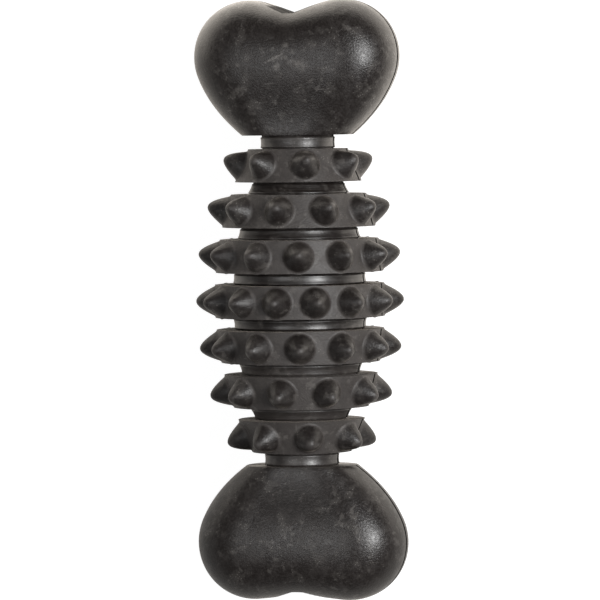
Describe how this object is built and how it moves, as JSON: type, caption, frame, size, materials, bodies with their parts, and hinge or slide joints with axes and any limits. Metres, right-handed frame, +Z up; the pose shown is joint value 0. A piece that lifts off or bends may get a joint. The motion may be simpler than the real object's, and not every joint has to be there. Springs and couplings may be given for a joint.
{
  "type": "rubber chew toy",
  "caption": "Bone-shaped rubber chew toy with heart-shaped knuckles and a barrel core ringed by bands of blunt cone studs.",
  "frame": {"origin": "on the floor under the middle of the toy as it lies on its studs", "axes": "+Y along the bone towards its head knuckle, +Z up, +X across the knuckles"},
  "size_m": [0.0636, 0.18, 0.0609],
  "materials": {
    "knuckle_rubber": "matt black moulded rubber with a dusty bloom",
    "core_rubber": "slightly smoother matt black moulded rubber",
    "ring_rubber": "matt black moulded rubber, satin on the stud tips"
  },
  "bodies": {
    "root": {"head_knuckle_front": "knuckle_rubber", "head_knuckle_back": "knuckle_rubber", "tail_knuckle_front": "knuckle_rubber", "tail_knuckle_back": "knuckle_rubber", "core_front": "core_rubber", "core_back": "core_rubber", "ring_1_front": "ring_rubber", "ring_1_back": "ring_rubber", "ring_2_front": "ring_rubber", "ring_2_back": "ring_rubber", "ring_3_front": "ring_rubber", "ring_3_back": "ring_rubber", "ring_4_front": "ring_rubber", "ring_4_back": "ring_rubber", "ring_5_front": "ring_rubber", "ring_5_back": "ring_rubber", "ring_6_front": "ring_rubber", "ring_6_back": "ring_rubber", "ring_7_front": "ring_rubber", "ring_7_back": "ring_rubber"}
  },
  "joints": []
}
